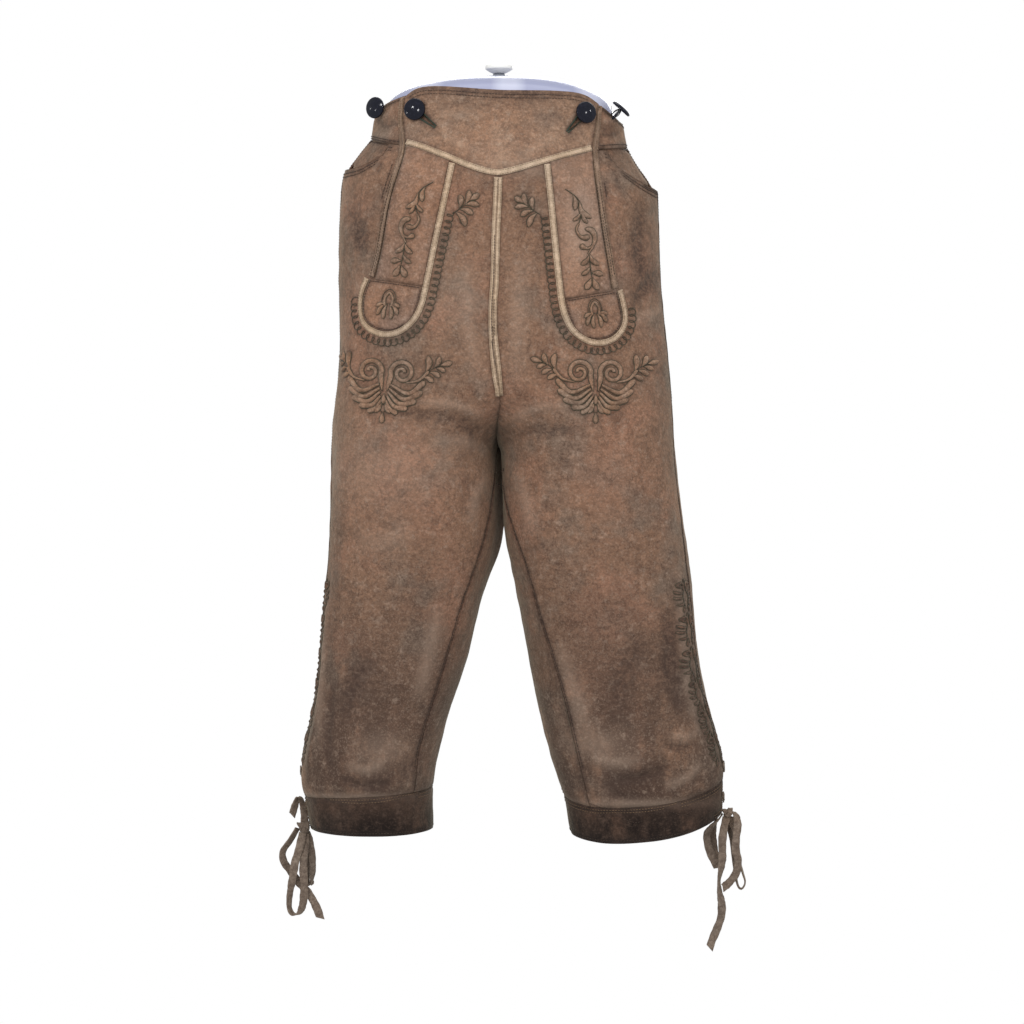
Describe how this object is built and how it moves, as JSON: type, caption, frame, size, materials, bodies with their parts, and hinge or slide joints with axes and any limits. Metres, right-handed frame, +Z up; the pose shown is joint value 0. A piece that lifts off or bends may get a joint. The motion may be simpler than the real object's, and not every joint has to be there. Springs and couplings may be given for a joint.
{
  "type": "lederhosen on a hanging hip form",
  "caption": "Knee-length suede leather breeches with a drop-front flap, light bindings, embroidery and knee laces, filled out by a hanging hip form.",
  "frame": {"origin": "centre of the knob's top face, where the hip form is held up", "axes": "+Z up, -Y towards the viewer and out of the garment's front, +X to the viewer's right"},
  "size_m": [0.488, 0.2578, 0.9274],
  "materials": {
    "brown_suede": "worn suede, matt, mid brown",
    "ochre_suede": "worn suede, matt, ochre brown",
    "dark_suede": "worn dark suede with a slight shine",
    "light_binding": "light tan chamois, matt",
    "lace_leather": "grey-brown soft strap leather",
    "black_horn": "polished black horn",
    "pearl_plastic": "pearl silver with a lavender cast, glossy",
    "chrome": "polished",
    "white_plastic": "satin white"
  },
  "bodies": {
    "root": {"back_left": "brown_suede", "back_right": "brown_suede", "bib": "brown_suede", "binding_fly_left": "light_binding", "binding_fly_right": "light_binding", "binding_tongue_left": "light_binding", "binding_tongue_right": "light_binding", "binding_v": "light_binding", "button_front_left": "black_horn", "button_front_right": "black_horn", "button_hip_left": "black_horn", "button_hip_right": "black_horn", "flap_edge_left": "brown_suede", "flap_edge_right": "brown_suede", "front_left": "brown_suede", "front_right": "brown_suede", "hip_form": "pearl_plastic", "knee_band_left": "dark_suede", "knee_band_right": "dark_suede", "knob": "white_plastic", "knot_left": "lace_leather", "knot_right": "lace_leather", "lace_left_end": "lace_leather", "lace_left_long_loop": "lace_leather", "lace_left_short_loop": "lace_leather", "lace_left_tail": "lace_leather", "lace_right_loop": "lace_leather", "lace_right_small_loop": "lace_leather", "lace_right_tail_long": "lace_leather", "lace_right_tail_short": "lace_leather", "patch_left": "ochre_suede", "patch_right": "ochre_suede", "pocket_facing_left": "brown_suede", "pocket_facing_right": "brown_suede", "stud": "chrome", "tongue_left": "brown_suede", "tongue_right": "brown_suede", "vent_lace_left_1": "lace_leather", "vent_lace_left_2": "lace_leather", "vent_lace_right_1": "lace_leather", "vent_lace_right_2": "lace_leather", "waistband_left": "brown_suede", "waistband_right": "brown_suede"}
  },
  "joints": []
}
